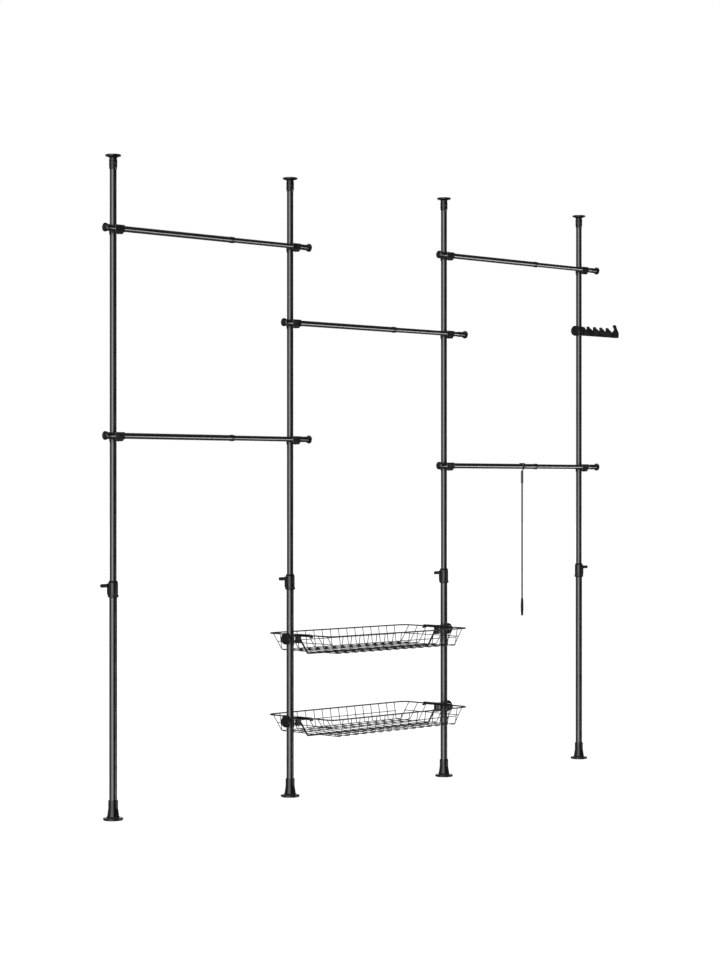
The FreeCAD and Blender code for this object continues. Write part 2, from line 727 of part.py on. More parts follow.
# Basket brackets, with the pole's axis and the rim's height at zero and the basket towards +X
carrier_radius = "(lower_tube_diameter / 2 + slide_clearance + carrier_wall)"
carrier_bottom = "carrier_top - carrier_height"
carrier_bevel = f"{carrier_radius} - carrier_chamfer"
carrier_clamp = turned("CarrierClamp", [
    ("0", carrier_bottom),
    (carrier_bevel, carrier_bottom),
    (carrier_radius, f"{carrier_bottom} + carrier_chamfer"),
    (carrier_radius, "carrier_top - carrier_chamfer"),
    (carrier_bevel, "carrier_top"),
    ("0", "carrier_top"),
])
rim_underside = "(basket_rim_diameter / 2 + seat_clearance)"
carrier_block = block(
    "CarrierBlock", "carrier_block_end - carrier_block_start", "carrier_block_width",
    f"carrier_block_drop - {rim_underside}", x="carrier_block_start", z="-carrier_block_drop",
)
arm_outer = f"(basket_end_gap - {rim_underside})"
arm_inner = f"({arm_outer} - carrier_arm_width)"
arm_middle = f"({arm_outer} - carrier_arm_width / 2)"
arm_straight = "(carrier_arm_length / 2 - carrier_arm_width / 2)"
carrier_arm = plate("CarrierArm", "XY_Plane", [
    (arm_outer, arm_straight),
    (arm_inner, arm_straight, "ccw", arm_middle, arm_straight),
    (arm_inner, f"-{arm_straight}"),
    (arm_outer, f"-{arm_straight}", "ccw", arm_middle, f"-{arm_straight}"),
], "carrier_arm_height")
carrier_neck = block(
    "CarrierNeck", arm_middle, "carrier_neck_width", "carrier_arm_height", z="-carrier_arm_height / 2"
)
finger_y = "carrier_arm_length / 2 - carrier_finger_inset"
finger_z = f"-({rim_underside} + carrier_finger_diameter / 2)"
carrier_fingers = [
    rod(
        f"CarrierFinger{side}", "carrier_finger_diameter",
        f"basket_end_gap + basket_rim_diameter - {arm_middle}", arm_middle, y, finger_z, along_x,
    )
    for side, y in (("Back", finger_y), ("Front", f"-({finger_y})"))
]
carrier_bore = rod(
    "CarrierBore", "lower_tube_diameter + 2 * slide_clearance", "carrier_height + 2 * cut_overrun",
    z=f"{carrier_bottom} - cut_overrun",
)
carrier_stud_hole = rod(
    "CarrierStudHole", "knob_stud_diameter + 2 * slide_clearance", f"{carrier_radius} + cut_overrun",
    z="-knob_drop", turn=against_x,
)
support_socket = basket_wire(
    "SupportSocket", "XZ_Plane", "basket_support_diameter + 2 * seat_clearance",
    support_floor, support_depth, long_lean, "basket_support_drop - seat_clearance",
)
place(support_socket, "bay_width / 2")
carrier = cut(
    "Carrier",
    fuse("CarrierBody", carrier_clamp, carrier_neck, carrier_block, carrier_arm, *carrier_fingers),
    carrier_bore, carrier_stud_hole, support_socket,
)


def knob(name, tube_diameter, seat):
    """A dished round knob, turned about its stud from the tube's axis outwards."""
    tip = f"{tube_diameter} / 2 + slide_clearance"
    back = f"{seat} + slide_clearance"
    front = f"{back} + knob_thickness"
    inner = "knob_diameter / 2 - knob_edge_radius"
    dish_slope = "knob_dish_diameter / 2 - knob_dish_depth"
    return turned(name, [
        ("0", tip),
        ("knob_stud_diameter / 2", tip),
        ("knob_stud_diameter / 2", back),
        (inner, back),
        ("knob_diameter / 2", f"{back} + knob_edge_radius", "ccw", inner, f"{back} + knob_edge_radius"),
        ("knob_diameter / 2", f"{front} - knob_edge_radius"),
        (inner, front, "ccw", inner, f"{front} - knob_edge_radius"),
        ("knob_dish_diameter / 2", front),
        (dish_slope, f"{front} - knob_dish_depth"),
        ("0", f"{front} - knob_dish_depth"),
    ])


carrier_knob = knob("CarrierKnob", "lower_tube_diameter", carrier_radius)
basket_x = f"{pole_x['pole_2']} + bay_width / 2"
for basket in ("upper_basket", "lower_basket"):
    rim_z = f"{basket}_height"
    wall_z = f"{rim_z} - basket_depth / 2"
    end_z = f"{rim_z} - {long_depth} / 2"
    node(
        f"{basket}_rim",
        (rim_wire, basket_x, "0", rim_z),
        (side_wire, f"{basket_x} - {side_wire_length} / 2", side_wire_y, wall_z, along_x),
        (side_wire, f"{basket_x} - {side_wire_length} / 2", f"-{side_wire_y}", wall_z, along_x),
        (end_wire, f"{basket_x} - {end_wire_x}", f"-{end_wire_length} / 2", end_z, along_y),
        (end_wire, f"{basket_x} + {end_wire_x}", f"-{end_wire_length} / 2", end_z, along_y),
    )
    node(f"{basket}_cross_wires", *[
        (cross_wire, f"{basket_x} - {cross_reach} + {index} * {cross_pitch}", "0", rim_z)
        for index in range(cross_wire_count)
    ])
    pairs = [sign * pair for pair in range(1, long_wire_pairs + 1) for sign in (-1, 1)]
    node(
        f"{basket}_long_wires",
        (support_wire, basket_x, "0", rim_z),
        *[(long_wire, basket_x, f"{pair} * basket_long_pitch", rim_z) for pair in pairs],
    )
    node(
        f"{basket}_brackets",
        (carrier, pole_x["pole_2"], "0", rim_z),
        (carrier, pole_x["pole_3"], "0", rim_z, half_turn),
    )
    knob_z = f"{rim_z} - knob_drop"
    node(f"{basket}_left_knob", (carrier_knob, pole_x["pole_2"], "0", knob_z, against_x))
    node(f"{basket}_right_knob", (carrier_knob, pole_x["pole_3"], "0", knob_z, along_x))

# Hook rack, with the pole's axis and the bar's underside at zero
hook_clamp_radius = "(upper_tube_diameter / 2 + slide_clearance + hook_clamp_wall)"
hook_clamp = cut(
    "HookClamp",
    fuse(
        "HookClampBody",
        rod("HookClampRing", f"2 * {hook_clamp_radius}", "hook_clamp_height"),
        block(
            "HookNeck", "hook_flange_end", "hook_neck_width", "hook_neck_height",
            z="(hook_clamp_height - hook_neck_height) / 2",
        ),
        block(
            "HookFlange", "hook_flange_end - hook_flange_start", "hook_flange_width",
            "hook_clamp_height", x="hook_flange_start",
        ),
    ),
    rod(
        "HookClampBore", "upper_tube_diameter + 2 * slide_clearance",
        "hook_clamp_height + 2 * cut_overrun", z="-cut_overrun",
    ),
    rod(
        "HookStudHole", "knob_stud_diameter + 2 * slide_clearance", f"{hook_clamp_radius} + cut_overrun",
        z="hook_clamp_height / 2", turn=against_x,
    ),
)
bar_start = "hook_flange_end + seat_clearance"
bar_corner = "hook_bar_end - hook_bar_corner"
end_tip = "hook_bar_end - hook_end_tip_inset"
end_neck = "hook_bar_end - hook_end_neck_inset"
hook_outline = [
    (bar_start, "0"),
    (bar_corner, "0"),
    ("hook_bar_end", "hook_bar_corner", "ccw", bar_corner, "hook_bar_corner"),
    ("hook_bar_end", "hook_end_shoulder"),
    (end_neck, "hook_end_neck_height"),
    (f"{end_tip} + hook_end_tip_radius", "hook_end_tip_height"),
    (f"{end_tip} - hook_end_tip_radius", "hook_end_tip_height", "ccw", end_tip, "hook_end_tip_height"),
    (f"{end_neck} - hook_end_neck_width", "hook_end_neck_height"),
]
for index in range(hook_count, -1, -1):
    slot_end = f"hook_first + {index} * hook_pitch"
    if index < hook_count:
        tip_x = f"{slot_end} + hook_tip_radius"
        hook_outline += [
            (f"{tip_x} + hook_tip_radius", "hook_tip_height"),
            (slot_end, "hook_tip_height", "ccw", tip_x, "hook_tip_height"),
        ]
    slot_x = f"{slot_end} - hook_slot_radius"
    hook_outline += [
        (slot_end, "hook_slot_height"),
        (f"{slot_x} - hook_slot_radius", "hook_slot_height", "cw", slot_x, "hook_slot_height"),
    ]
hook_outline.append((bar_start, "hook_tip_height"))
hook_bar = plate("HookBar", "XZ_Plane", hook_outline, "hook_bar_thickness")
hook_knob = knob("HookKnob", "upper_tube_diameter", hook_clamp_radius)
hook_x = pole_x["pole_4"]
node("hook_rack_clamp", (hook_clamp, hook_x, "0", "hook_rack_height"))
node("hook_rack_bar", (hook_bar, hook_x, "0", "hook_rack_height"))
node("hook_rack_knob", (hook_knob, hook_x, "0", "hook_rack_height + hook_clamp_height / 2", against_x))

# Reach pole: two leaning hooks that rise from a ferrule and go over the rail
lean_share = math.cos(math.radians(hook_lean_degrees))
hook_radius = (
    f"((rail_outer_diameter / 2 + slide_clearance + reach_wire_diameter / 2) / {lean_share:.6f})"
)
hook_centre = f"(reach_hook_drop / {lean_share:.6f})"
hook_tangent = f"sqrt({hook_centre}^2 - {hook_radius}^2)"
reach_hook = bent_wire("ReachHook", "YZ_Plane", [
    ("0", "0"),
    (f"-{hook_radius} * {hook_tangent} / {hook_centre}", f"{hook_tangent}^2 / {hook_centre}"),
    (hook_radius, hook_centre, "cw", "0", hook_centre),
    (hook_radius, f"{hook_centre} - reach_hook_tip"),
], "reach_wire_diameter")
prongs = []
for side, degrees in (("Left", -hook_lean_degrees), ("Right", hook_lean_degrees)):
    prong = doc.addObject("App::Link", "ReachProng" + side)
    prong.LinkedObject = reach_hook
    prongs.append(place(prong, turn=Rotation(Vector(0, 1, 0), degrees)))
reach_socket = "reach_rod_diameter / 2 + seat_clearance"
ferrule = turned("ReachFerrule", [
    ("0", "0"),
    ("0", "reach_ferrule_socket - reach_ferrule_length"),
    (reach_socket, "reach_ferrule_socket - reach_ferrule_length"),
    (reach_socket, "-reach_ferrule_length"),
    ("reach_ferrule_diameter / 2", "-reach_ferrule_length"),
    ("reach_ferrule_diameter / 2", "-reach_ferrule_taper"),
    ("reach_wire_diameter", "0"),
])
reach_fork = fuse("ReachFork", ferrule, *prongs)
reach_x = f"{pole_x['pole_3']} + reach_distance"
ferrule_top = "lower_right_rail_height - reach_hook_drop"
rod_top = f"{ferrule_top} - reach_ferrule_length + reach_ferrule_socket"
rod_bottom = "reach_grip_top - reach_grip_socket"
reach_rod = rod("ReachRod", "reach_rod_diameter", f"{rod_top} - ({rod_bottom})")
grip_half = "((reach_grip_length - reach_grip_round) / 2)"
grip_swell = "((reach_grip_diameter - reach_grip_end_diameter) / 2)"
grip_arc = f"(({grip_half}^2 + {grip_swell}^2) / (2 * {grip_swell}))"
grip_end_inner = "reach_grip_end_diameter / 2 - reach_grip_round"
reach_grip = turned("ReachGrip", [
    ("0", "-reach_grip_length"),
    (grip_end_inner, "-reach_grip_length"),
    (
        "reach_grip_end_diameter / 2", "reach_grip_round - reach_grip_length",
        "ccw", grip_end_inner, "reach_grip_round - reach_grip_length",
    ),
    (
        "reach_grip_end_diameter / 2", "0",
        "ccw", f"reach_grip_diameter / 2 - {grip_arc}", f"-{grip_half}",
    ),
    (reach_socket, "0"),
    (reach_socket, "-reach_grip_socket"),
    ("0", "-reach_grip_socket"),
])
node("reach_pole_fork", (reach_fork, reach_x, rail_y, ferrule_top))
node("reach_pole_rod", (reach_rod, reach_x, rail_y, rod_bottom))
node("reach_pole_grip", (reach_grip, reach_x, rail_y, "reach_grip_top"))

# Build, test every object and write one file for each sub-part
doc.recompute()
failed = [item.Label for item in doc.Objects if "Invalid" in item.State or "Error" in item.State]
failed += [item.Label for item in nodes if item.Shape.isNull() or not item.Shape.isValid()]
if failed:
    raise SystemExit("Not built: " + ", ".join(failed))
os.makedirs("parts", exist_ok=True)
for item in nodes:
    item.Shape.exportStep(f"parts/{item.Label}.step")
print(len(nodes), "sub-parts,", sum(len(item.Shape.Solids) for item in nodes), "solids")
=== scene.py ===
import json
import math

import bmesh
import bpy
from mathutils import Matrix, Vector


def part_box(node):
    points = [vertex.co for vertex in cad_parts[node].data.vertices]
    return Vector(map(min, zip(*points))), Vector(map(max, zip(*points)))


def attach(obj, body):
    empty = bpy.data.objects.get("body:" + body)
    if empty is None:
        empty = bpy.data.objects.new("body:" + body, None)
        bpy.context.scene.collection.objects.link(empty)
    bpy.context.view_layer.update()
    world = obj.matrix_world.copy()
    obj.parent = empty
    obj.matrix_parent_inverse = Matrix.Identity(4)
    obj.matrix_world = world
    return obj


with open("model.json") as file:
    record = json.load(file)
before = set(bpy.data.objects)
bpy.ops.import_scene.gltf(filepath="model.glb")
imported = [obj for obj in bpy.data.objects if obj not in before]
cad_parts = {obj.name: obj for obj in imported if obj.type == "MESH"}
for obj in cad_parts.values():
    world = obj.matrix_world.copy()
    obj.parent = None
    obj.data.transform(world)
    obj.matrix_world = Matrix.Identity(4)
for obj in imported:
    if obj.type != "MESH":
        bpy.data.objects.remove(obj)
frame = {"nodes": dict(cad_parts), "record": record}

mm = 0.001
white = (1, 1, 1, 1)
poleNumbers = (1, 2, 3, 4)
scene = bpy.context.scene
nodes = frame["nodes"]
membership = frame["record"]["behaviour"]["bodies"]
bodyOf = {name: body for body, names in membership.items() for name in names}
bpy.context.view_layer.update()     # the solids alone, before any piece is added


# Camera at the photograph's place, level, turned from +Y towards +X
viewpoint = {
    "lens": 88.10, "sensor": 36.0, "place": (-6.141, -7.356, 1.356),
    "yaw": 45.854, "shiftUp": 0.0061,
}


def setCamera(view):
    data = bpy.data.cameras.new("rackCamera")
    data.sensor_width = view["sensor"]
    data.lens = view["lens"]
    data.shift_y = view["shiftUp"]
    camera = bpy.data.objects.new("rackCamera", data)
    camera.location = view["place"]
    camera.rotation_euler = (math.radians(90), 0, -math.radians(view["yaw"]))
    scene.collection.objects.link(camera)
    scene.camera = camera


setCamera(viewpoint)
print("camera set")


# Helpers for node trees
socketKinds = {float: "NodeSocketFloat", int: "NodeSocketInt", tuple: "NodeSocketVector"}


def addNode(tree, kind, **settings):
    node = tree.nodes.new(kind)
    for name, value in settings.items():
        setattr(node, name, value)
    return node


def feed(tree, node, inputs):            # each input takes a plain value or another node's socket
    for key, value in inputs.items():
        if isinstance(value, bpy.types.NodeSocket):
            tree.links.new(value, node.inputs[key])
        else:
            node.inputs[key].default_value = value
    return node


def calc(tree, operation, *values):
    node = addNode(tree, "ShaderNodeMath", operation=operation)
    return feed(tree, node, dict(enumerate(values))).outputs[0]


def product(tree, whole, *factors):
    for factor in factors:
        whole = calc(tree, "MULTIPLY", whole, factor)
    return whole


def vectorCalc(tree, operation, *values):
    node = addNode(tree, "ShaderNodeVectorMath", operation=operation)
    result = "Value" if operation == "DOT_PRODUCT" else "Vector"
    return feed(tree, node, dict(enumerate(values))).outputs[result]


def upwardPart(tree, vector):
    node = addNode(tree, "ShaderNodeSeparateXYZ")
    return feed(tree, node, {"Vector": vector}).outputs["Z"]


def ramp(tree, value, fromLow, fromHigh, toLow=0.0, toHigh=1.0):
    node = addNode(tree, "ShaderNodeMapRange", interpolation_type="SMOOTHSTEP")
    return feed(tree, node, {
        "Value": value, "From Min": fromLow, "From Max": fromHigh,
        "To Min": toLow, "To Max": toHigh,
    }).outputs[0]


def mixColour(tree, share, first, second):
    node = addNode(tree, "ShaderNodeMix", data_type="RGBA")
    factor, colourA, colourB, result = 0, 6, 7, 2        # the sockets that a colour mix uses
    return feed(tree, node, {factor: share, colourA: first, colourB: second}).outputs[result]


def noise(tree, place, scale, detail):
    node = addNode(tree, "ShaderNodeTexNoise")
    return feed(tree, node, {"Vector": place, "Scale": scale, "Detail": detail}).outputs[0]


def newTree(kind, name, inputs, outputs):
    tree = bpy.data.node_groups.new(name, kind)
    for label, value in inputs.items():  # its default, or the kind of a socket that has none
        bare = isinstance(value, str)
        socketKind = value if bare else socketKinds[type(value)]
        socket = tree.interface.new_socket(name=label, in_out="INPUT", socket_type=socketKind)
        if not bare:
            socket.default_value = value
    for label, socketKind in outputs.items():
        tree.interface.new_socket(name=label, in_out="OUTPUT", socket_type=socketKind)
    return tree, addNode(tree, "NodeGroupInput").outputs, addNode(tree, "NodeGroupOutput")


def newGroup(name, inputs, outputs):
    return newTree("ShaderNodeTree", name, inputs, dict.fromkeys(outputs, "NodeSocketFloat"))


def placeGroup(tree, group, inputs):
    return feed(tree, addNode(tree, "ShaderNodeGroup", node_tree=group), inputs).outputs


# Studio: white backdrop, tall softboxes that the tubes mirror, a plain pale floor
# A softbox's heading is in degrees from -Y towards -X, and its inner and outer edges are in
# degrees from the heading. Its low and high edges are sines of elevation.
studio = {
    "backdrop": 1.0, "ambient": 0.05,
    "softboxes": {
        "key": {
            "heading": 66, "inner": 16, "outer": 38,
            "low": -0.30, "high": 0.45, "soft": 0.10, "power": 4.2,
        },
        "side": {
            "heading": 150, "inner": 20, "outer": 50,
            "low": -0.30, "high": 0.45, "soft": 0.10, "power": 0.3,
        },
        "railFill": {
            "heading": -47, "inner": 12, "outer": 24,
            "low": -0.42, "high": -0.19, "soft": 0.05, "power": 9.0,
        },
        "back": {
            "heading": 226, "inner": 8, "outer": 22,
            "low": -0.30, "high": 0.45, "soft": 0.10, "power": 1.2,
        },
        "overhead": {
            "heading": 0, "inner": 180, "outer": 200,
            "low": 0.80, "high": 1.30, "soft": 0.15, "power": 0.8,
        },
        "floor": {
            "heading": 0, "inner": 180, "outer": 200,
            "low": -1.30, "high": -0.64, "soft": 0.10, "power": 0.2,
        },
    },
}
pale = {"half": 60.0, "drop": 0.2 * mm, "glow": 0.9, "tint": (0.4, 0.4, 0.4, 1)}


def buildSoftbox():
    group, given, out = newGroup("softbox", {
        "Direction": (0, 0, 0), "Heading": (0, -1, 0), "Inner": 0.9, "Outer": 0.8,
        "Low": -0.3, "High": 0.3, "Soft": 0.1, "Power": 1.0,
    }, ["Glow"])
    low, high, soft = given["Low"], given["High"], given["Soft"]
    level = vectorCalc(group, "MULTIPLY", given["Direction"], (1, 1, 0))
    level = vectorCalc(group, "NORMALIZE", level)
    towards = vectorCalc(group, "DOT_PRODUCT", level, given["Heading"])
    across = ramp(group, towards, given["Outer"], given["Inner"])
    height = upwardPart(group, given["Direction"])
    dark, bright = calc(group, "SUBTRACT", low, soft), calc(group, "ADD", low, soft)
    above = ramp(group, height, dark, bright)
    dark, bright = calc(group, "ADD", high, soft), calc(group, "SUBTRACT", high, soft)
    below = ramp(group, height, dark, bright)
    feed(group, out, {"Glow": product(group, across, above, below, given["Power"])})
    return group


def edgeCosine(degrees):                 # an edge past 180 degrees lies beyond every direction
    beyond = -2.0
    return beyond if degrees > 180 else math.cos(math.radians(degrees))


def setWorld(look):
    world = bpy.data.worlds.new("studio")
    scene.world = world
    world.use_nodes = True
    tree = world.node_tree
    tree.nodes.clear()
    softbox = buildSoftbox()
    direction = addNode(tree, "ShaderNodeTexCoord").outputs["Generated"]
    light = look["ambient"]
    for box in look["softboxes"].values():
        heading = math.radians(box["heading"])
        glow = placeGroup(tree, softbox, {
            "Direction": direction, "Heading": (-math.sin(heading), -math.cos(heading), 0),
            "Inner": edgeCosine(box["inner"]), "Outer": edgeCosine(box["outer"]),
            "Low": box["low"], "High": box["high"], "Soft": box["soft"], "Power": box["power"],
        })["Glow"]
        light = calc(tree, "ADD", light, glow)
    seen, lit = (
        feed(tree, addNode(tree, "ShaderNodeBackground"), {"Color": white, "Strength": strength})
        for strength in (look["backdrop"], light)
    )
    mix = addNode(tree, "ShaderNodeMixShader")
    cameraRay = addNode(tree, "ShaderNodeLightPath").outputs["Is Camera Ray"]
    feed(tree, mix, {0: cameraRay, 1: lit.outputs[0], 2: seen.outputs[0]})
    feed(tree, addNode(tree, "ShaderNodeOutputWorld"), {"Surface": mix.outputs[0]})


def layFloor(look):
    material = bpy.data.materials.new("paleFloor")
    material.use_nodes = True
    shader = material.node_tree.nodes["Principled BSDF"]
    feed(material.node_tree, shader, {
        "Base Color": look["tint"], "Roughness": 1.0, "Specular IOR Level": 0.0,
        "Emission Color": white, "Emission Strength": look["glow"],
    })
    half, level = look["half"], -look["drop"]
    mesh = bpy.data.meshes.new("paleFloor")
    corners = [(x * half, y * half, level) for x, y in ((-1, -1), (1, -1), (1, 1), (-1, 1))]
    mesh.from_pydata(corners, [], [(0, 1, 2, 3)])
    mesh.materials.append(material)
    floor = bpy.data.objects.new("paleFloor", mesh)
    scene.collection.objects.link(floor)
    floor.visible_glossy = False         # the tubes mirror the softboxes, not the white floor
    floor.visible_diffuse = False
    floor.visible_shadow = False


setWorld(studio)
layFloor(pale)
scene.view_settings.view_transform = "Standard"
print("studio and floor set")


# Surface effects that several finishes share
# Scales are per metre, and each pair is the span over which an effect sets in
peelLook = {"fineDetail": 1.5, "broadShare": 0.03, "broadDetail": 3.0, "drift": (0.35, 0.65)}


def buildPeel(look):                     # the lumpy skin of a baked powder coat
    group, given, out = newGroup(
        "orangePeel", {"Place": (0, 0, 0), "Lumps": 600.0}, ["Height", "Drift"])
    place, lumps = given["Place"], given["Lumps"]
    fine = noise(group, place, lumps, look["fineDetail"])
    broad = noise(group, place, product(group, lumps, look["broadShare"]), look["broadDetail"])
    feed(group, out, {"Height": fine, "Drift": ramp(group, broad, *look["drift"])})
    return group


grainLook = {
    "fineShare": 0.6, "fineDetail": 3.0, "broadShare": 0.012, "broadDetail": 2.0,
    "drift": (0.35, 0.65),
}


def buildGrain(look):                    # the fine spark-eroded texture of a plastic mould
    group, given, out = newGroup(
        "mouldGrain", {"Place": (0, 0, 0), "Lumps": 2500.0}, ["Height", "Drift"])
    place, lumps = given["Place"], given["Lumps"]
    cells = addNode(group, "ShaderNodeTexVoronoi", feature="SMOOTH_F1")
    pits = feed(group, cells, {"Vector": place, "Scale": lumps}).outputs["Distance"]
    fine = noise(group, place, product(group, lumps, look["fineShare"]), look["fineDetail"])
    broad = noise(group, place, product(group, lumps, look["broadShare"]), look["broadDetail"])
    height = calc(group, "ADD", pits, fine)
    feed(group, out, {"Height": height, "Drift": ramp(group, broad, *look["drift"])})
    return group


rubLook = {
    "lineDetail": 2.0, "lines": (0.60, 0.70),
    "patchScale": 9.0, "patchDetail": 2.0, "patches": (0.48, 0.66),
}


def buildRub(look):                      # faint hairlines from handling and sliding, along one axis
    group, given, out = newGroup("rubMarks", {
        "Place": (0, 0, 0), "Stretch": (1, 1, 0.03), "Marks": 500.0, "Amount": 0.5,
    }, ["Mask"])
    drawn = vectorCalc(group, "MULTIPLY", given["Place"], given["Stretch"])
    lines = noise(group, drawn, given["Marks"], look["lineDetail"])
    lines = ramp(group, lines, *look["lines"])
    patches = noise(group, given["Place"], look["patchScale"], look["patchDetail"])
    patches = ramp(group, patches, *look["patches"])
    feed(group, out, {"Mask": product(group, lines, patches, given["Amount"])})
    return group


dustLook = {"upward": (0.55, 1.0), "cloudScale": 60.0, "cloudDetail": 5.0, "clouds": (0.35, 0.70)}


def buildDust(look):                     # a thin film on what faces up
    group, given, out = newGroup("settledDust", {
        "Place": (0, 0, 0), "Facing": (0, 0, 1), "Amount": 0.05,
    }, ["Mask"])
    upward = ramp(group, upwardPart(group, given["Facing"]), *look["upward"])
    clouds = noise(group, given["Place"], look["cloudScale"], look["cloudDetail"])
    clouds = ramp(group, clouds, *look["clouds"])
    feed(group, out, {"Mask": product(group, upward, clouds, given["Amount"])})
    return group


edgeWearAndHighlightLook = {
    "samples": 6, "bend": (0.995, 0.90),
    "breakScale": 180.0, "breakDetail": 3.0, "breaks": (0.30, 0.62),
}


def buildEdgeWearAndHighlight(look):                     # corners lighter and polished: worn edges, and partly a painted edge highlight
    group, given, out = newGroup("edgeWearAndHighlight", {
        "Place": (0, 0, 0), "Radius": 0.8 * mm, "Amount": 0.5,
    }, ["Mask"])
    bevel = addNode(group, "ShaderNodeBevel", samples=look["samples"])
    rounded = feed(group, bevel, {"Radius": given["Radius"]}).outputs[0]
    flat = addNode(group, "ShaderNodeNewGeometry").outputs["Normal"]
    bend = ramp(group, vectorCalc(group, "DOT_PRODUCT", rounded, flat), *look["bend"])
    breaks = noise(group, given["Place"], look["breakScale"], look["breakDetail"])
    breaks = ramp(group, breaks, *look["breaks"])
    feed(group, out, {"Mask": product(group, bend, breaks, given["Amount"])})
    return group


effects = {
    "peel": buildPeel(peelLook), "grain": buildGrain(grainLook), "rub": buildRub(rubLook),
    "dust": buildDust(dustLook), "edge": buildEdgeWearAndHighlight(edgeWearAndHighlightLook),
}
print("surface effects:", ", ".join(effects))


# Finishes, one for each slot of the record
# deep and lift are the colour's ends, satin the roughness' ends, lumps are per metre
finishLooks = {
    "tube_coat": {
        "skin": "peel", "lumps": 650.0, "relief": 0.10, "deep": 0.006, "lift": 0.010,
        "satin": (0.22, 0.30), "sheen": 0.5, "coat": 0.6, "coatRough": 0.16,
        "stretch": (1, 1, 0.03), "rub": 0.35, "dust": 0.02, "edge": 0.3,
    },
    "basket_wire": {
        "skin": "peel", "lumps": 900.0, "relief": 0.16, "deep": 0.004, "lift": 0.007,
        "satin": (0.30, 0.40), "sheen": 0.25, "coat": 0.1, "coatRough": 0.2,
        "stretch": (0.2, 0.2, 0.2), "rub": 0.3, "dust": 0.03, "edge": 0.2,
    },
    "reach_steel": {
        "skin": "peel", "lumps": 800.0, "relief": 0.10, "deep": 0.007, "lift": 0.011,
        "satin": (0.24, 0.32), "sheen": 0.5, "coat": 0.5, "coatRough": 0.18,
        "stretch": (1, 1, 0.02), "rub": 0.5, "dust": 0.02, "edge": 0.3,
    },
    "moulded_plastic": {
        "skin": "grain", "lumps": 2200.0, "relief": 0.22, "deep": 0.004, "lift": 0.006,
        "satin": (0.24, 0.32), "sheen": 0.42,
        "stretch": (0.3, 0.3, 0.3), "rub": 0.25, "dust": 0.04, "edge": 0.6,
    },
    "grip_plastic": {
        "skin": "grain", "lumps": 1700.0, "relief": 0.30, "deep": 0.003, "lift": 0.005,
        "satin": (0.44, 0.54), "sheen": 0.25,
        "stretch": (0.3, 0.3, 0.3), "rub": 0.2, "dust": 0.03, "edge": 0.7,
    },
    "pad_plastic": {
        "skin": "grain", "lumps": 1500.0, "relief": 0.28, "deep": 0.004, "lift": 0.006,
        "satin": (0.20, 0.28), "sheen": 0.35,
        "stretch": (0.3, 0.3, 0.3), "rub": 0.2, "dust": 0.05, "edge": 0.5,
    },
}
# the edge colour lightens the corners: partly wear, partly a painted edge highlight
wear = {
    "edgeWearAndHighlightColour": (0.030, 0.030, 0.031, 1), "dustColour": (0.30, 0.29, 0.28, 1),
    "coolness": 1.03, "rubDulls": 0.20, "edgePolishes": 0.12, "bumpHeight": 0.1 * mm,
}


def grey(value):
    return (value, value, value * wear["coolness"], 1)


def buildFinish(name, look):
    material = bpy.data.materials.new(name + "_finish")
    material.use_nodes = True
    tree = material.node_tree
    shader = tree.nodes["Principled BSDF"]
    coords = addNode(tree, "ShaderNodeTexCoord").outputs
    place = coords["Object"]
    skin = placeGroup(tree, effects[look["skin"]], {"Place": place, "Lumps": look["lumps"]})
    rub = placeGroup(tree, effects["rub"], {
        "Place": place, "Stretch": look["stretch"], "Amount": look["rub"],
    })["Mask"]
    dust = placeGroup(tree, effects["dust"], {
        "Place": place, "Facing": coords["Normal"], "Amount": look["dust"],
    })["Mask"]
    edge = placeGroup(tree, effects["edge"], {"Place": place, "Amount": look["edge"]})["Mask"]
    colour = mixColour(tree, skin["Drift"], grey(look["deep"]), grey(look["lift"]))
    # lighter edges: worn corners, and partly a painted highlight on them
    colour = mixColour(tree, edge, colour, wear["edgeWearAndHighlightColour"])
    colour = mixColour(tree, dust, colour, wear["dustColour"])
    rough = ramp(tree, skin["Drift"], 0.0, 1.0, *look["satin"])
    rough = calc(tree, "ADD", rough, product(tree, rub, wear["rubDulls"]))
    rough = calc(tree, "SUBTRACT", rough, product(tree, edge, wear["edgePolishes"]))
    bump = feed(tree, addNode(tree, "ShaderNodeBump"), {
        "Height": skin["Height"], "Strength": look["relief"], "Distance": wear["bumpHeight"],
    })
    feed(tree, shader, {
        "Base Color": colour, "Roughness": rough, "Normal": bump.outputs[0],
        "Specular IOR Level": look["sheen"],
    })
    if "coat" in look:
        feed(tree, shader, {"Coat Weight": look["coat"], "Coat Roughness": look["coatRough"]})
    return material


finishes = {slot: buildFinish(slot, look) for slot, look in finishLooks.items()}
for node in nodes.values():
    node.data.materials[0] = finishes[node.data.materials[0].name]
print("finishes:", len(finishes), "on", len(nodes), "nodes")


# Shapes that repeat, each a node tree that is turned into a plain mesh for its body
# A setting that starts with a capital letter is an input of its node tree
def newShape(name, look):
    inputs = {label: value for label, value in look.items() if label[0].isupper()}
    return newTree("GeometryNodeTree", name, {
        "Geometry": "NodeSocketGeometry", **inputs, "Material": "NodeSocketMaterial",
    }, {"Geometry": "NodeSocketGeometry"})


def shape(group, kind, inputs, **settings):
    return feed(group, addNode(group, kind, **settings), inputs).outputs[0]


def xyz(group, x, y, z):
    return shape(group, "ShaderNodeCombineXYZ", {"X": x, "Y": y, "Z": z})


def randomValue(group, least, most, seed):
    node = addNode(group, "FunctionNodeRandomValue", data_type="FLOAT")
    lowest, highest, result = 2, 3, 1    # the sockets that a plain number uses
    return feed(group, node, {lowest: least, highest: most, "Seed": seed}).outputs[result]


def aimed(group):                        # the rotation that turns +Z to each seat's facing
    facing = shape(
        group, "GeometryNodeInputNamedAttribute", {"Name": "facing"}, data_type="FLOAT_VECTOR")
    return shape(group, "FunctionNodeAlignRotationToVector", {"Vector": facing}, axis="Z")


